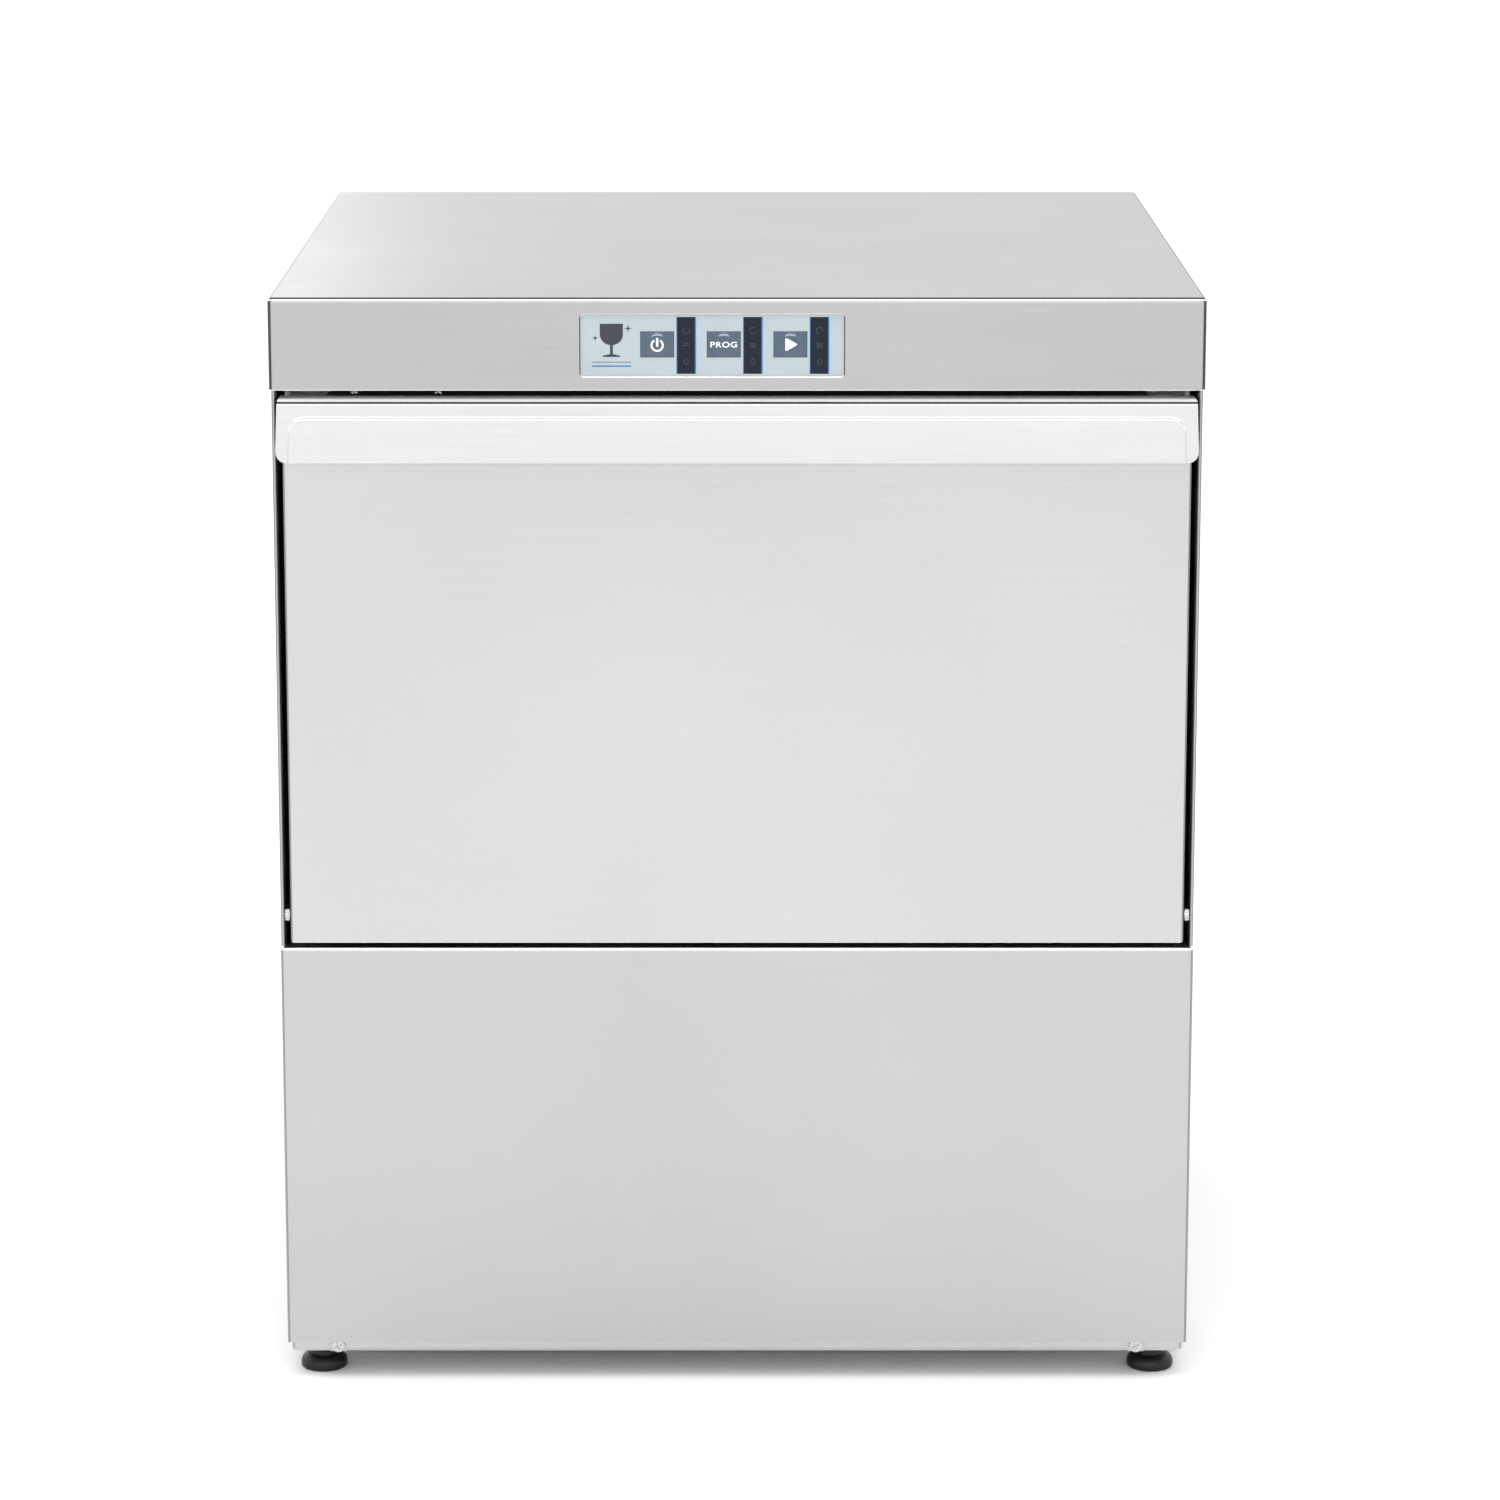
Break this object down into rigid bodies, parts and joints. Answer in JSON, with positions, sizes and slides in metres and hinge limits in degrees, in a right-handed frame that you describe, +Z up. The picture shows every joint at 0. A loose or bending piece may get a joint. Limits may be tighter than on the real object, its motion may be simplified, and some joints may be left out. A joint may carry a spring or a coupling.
{
  "type": "glass washer",
  "caption": "Front-loading commercial glass washer: stainless cabinet with a drop-down door, full-width handle lip, key panel, spray arms, glass basket, tank, pump and boiler.",
  "frame": {"origin": "on the floor, midway between the left and right sides and midway between the front of the door handle and the rear end of the water inlet", "axes": "+Z up, -Y out of the door, +X to the right seen from the front"},
  "size_m": [0.6, 0.66, 0.725],
  "materials": {
    "brushed_outer": "fine brushed stainless",
    "brushed_inner": "satin stainless",
    "galvanised": "zinc coated sheet",
    "screw_steel": "polished",
    "gasket_rubber": "matte",
    "hose_rubber": "matte",
    "black_plastic": "matte",
    "basket_plastic": "satin",
    "pump_plastic": "satin",
    "white_plastic": "satin",
    "panel_plastic": "satin film",
    "window_plastic": "gloss",
    "key_plastic": "satin film",
    "board_green": "satin",
    "motor_paint": "satin",
    "heater_steel": "satin",
    "inlet_brass": "satin",
    "magnet": "matte"
  },
  "bodies": {
    "cabinet": {"base_tray": "galvanised", "left_side_panel": "brushed_outer", "right_side_panel": "brushed_outer", "rear_panel": "galvanised", "lower_front_panel": "brushed_outer", "top_cover": "brushed_outer", "front_posts": "galvanised", "front_frame": "brushed_inner", "door_gasket": "gasket_rubber", "panel_screws": "screw_steel", "hinge_brackets": "brushed_inner", "door_springs": "screw_steel", "door_switch": "black_plastic", "wash_chamber": "brushed_inner", "wash_tank": "brushed_inner", "tank_filters": "brushed_inner", "overflow_pipe": "black_plastic", "tank_heater": "heater_steel", "lower_hub": "pump_plastic", "upper_hub": "pump_plastic", "basket_rails": "brushed_inner", "glass_basket": "basket_plastic", "control_panel": "panel_plastic", "indicator_windows": "window_plastic", "control_board": "board_green", "motor_housing": "motor_paint", "pump_volute": "pump_plastic", "suction_hose": "hose_rubber", "wash_manifold": "pump_plastic", "boiler_tank": "brushed_inner", "boiler_heater": "heater_steel", "water_inlet": "inlet_brass", "inlet_valve": "white_plastic", "rinse_pipe": "heater_steel", "drain_outlet": "pump_plastic", "drain_hose": "hose_rubber", "cable_gland": "black_plastic", "component_plate": "galvanised", "electrical_components": "pump_plastic", "detergent_pump": "pump_plastic", "rinse_aid_pump": "pump_plastic"},
    "door": {"door_outer_panel": "brushed_outer", "door_inner_panel": "brushed_inner", "door_handle": "brushed_outer", "hinge_blocks": "black_plastic", "door_magnet": "magnet"},
    "lower_wash_arm": {"lower_wash_arm": "brushed_inner"},
    "upper_wash_arm": {"upper_wash_arm": "brushed_inner"},
    "lower_rinse_arm": {"lower_rinse_arm": "brushed_inner"},
    "upper_rinse_arm": {"upper_rinse_arm": "brushed_inner"},
    "pump_rotor": {"pump_rotor": "heater_steel"},
    "detergent_rotor": {"detergent_rotor": "white_plastic"},
    "rinse_aid_rotor": {"rinse_aid_rotor": "white_plastic"},
    "power_key": {"power_key": "key_plastic"},
    "program_key": {"program_key": "key_plastic"},
    "start_key": {"start_key": "key_plastic"},
    "front_left_foot": {"front_left_foot": "black_plastic"},
    "front_right_foot": {"front_right_foot": "black_plastic"},
    "rear_left_foot": {"rear_left_foot": "black_plastic"},
    "rear_right_foot": {"rear_right_foot": "black_plastic"}
  },
  "joints": [
    {"name": "door_hinge", "type": "hinge", "parent": "cabinet", "child": "door", "pos_m": [0, -0.29, 0.317], "axis": [1, 0, 0], "range_deg": [0, 90], "stiffness_Nm_per_rad": 3.8, "springref_deg": -8.59, "deforming": ["door_springs"]},
    {"name": "lower_wash_arm_spin", "type": "hinge", "parent": "cabinet", "child": "lower_wash_arm", "pos_m": [0, 0.005, 0.3305], "axis": [0, 0, 1], "continuous": true},
    {"name": "lower_rinse_arm_spin", "type": "hinge", "parent": "cabinet", "child": "lower_rinse_arm", "pos_m": [0, 0.005, 0.3435], "axis": [0, 0, 1], "continuous": true},
    {"name": "upper_wash_arm_spin", "type": "hinge", "parent": "cabinet", "child": "upper_wash_arm", "pos_m": [0, 0.005, 0.6355], "axis": [0, 0, 1], "continuous": true},
    {"name": "upper_rinse_arm_spin", "type": "hinge", "parent": "cabinet", "child": "upper_rinse_arm", "pos_m": [0, 0.005, 0.6225], "axis": [0, 0, 1], "continuous": true},
    {"name": "pump_spin", "type": "hinge", "parent": "cabinet", "child": "pump_rotor", "pos_m": [-0.14, -0.06, 0.105], "axis": [1, 0, 0], "continuous": true},
    {"name": "detergent_rotor_spin", "type": "hinge", "parent": "cabinet", "child": "detergent_rotor", "pos_m": [0.09, -0.25, 0.11], "axis": [0, 1, 0], "continuous": true},
    {"name": "rinse_aid_rotor_spin", "type": "hinge", "parent": "cabinet", "child": "rinse_aid_rotor", "pos_m": [0.175, -0.25, 0.11], "axis": [0, 1, 0], "continuous": true},
    {"name": "power_key_press", "type": "slide", "parent": "cabinet", "child": "power_key", "axis": [0, 1, 0], "range_m": [0, 0.0005], "stiffness_N_per_m": 2000, "springref_m": -0.0005},
    {"name": "program_key_press", "type": "slide", "parent": "cabinet", "child": "program_key", "axis": [0, 1, 0], "range_m": [0, 0.0005], "stiffness_N_per_m": 2000, "springref_m": -0.0005},
    {"name": "start_key_press", "type": "slide", "parent": "cabinet", "child": "start_key", "axis": [0, 1, 0], "range_m": [0, 0.0005], "stiffness_N_per_m": 2000, "springref_m": -0.0005},
    {"name": "front_left_foot_turn", "type": "hinge", "parent": "cabinet", "child": "front_left_foot", "pos_m": [-0.277, -0.272, 0.03], "axis": [0, 0, 1], "continuous": true},
    {"name": "front_right_foot_turn", "type": "hinge", "parent": "cabinet", "child": "front_right_foot", "pos_m": [0.277, -0.272, 0.03], "axis": [0, 0, 1], "continuous": true},
    {"name": "rear_left_foot_turn", "type": "hinge", "parent": "cabinet", "child": "rear_left_foot", "pos_m": [-0.277, 0.272, 0.03], "axis": [0, 0, 1], "continuous": true},
    {"name": "rear_right_foot_turn", "type": "hinge", "parent": "cabinet", "child": "rear_right_foot", "pos_m": [0.277, 0.272, 0.03], "axis": [0, 0, 1], "continuous": true}
  ]
}
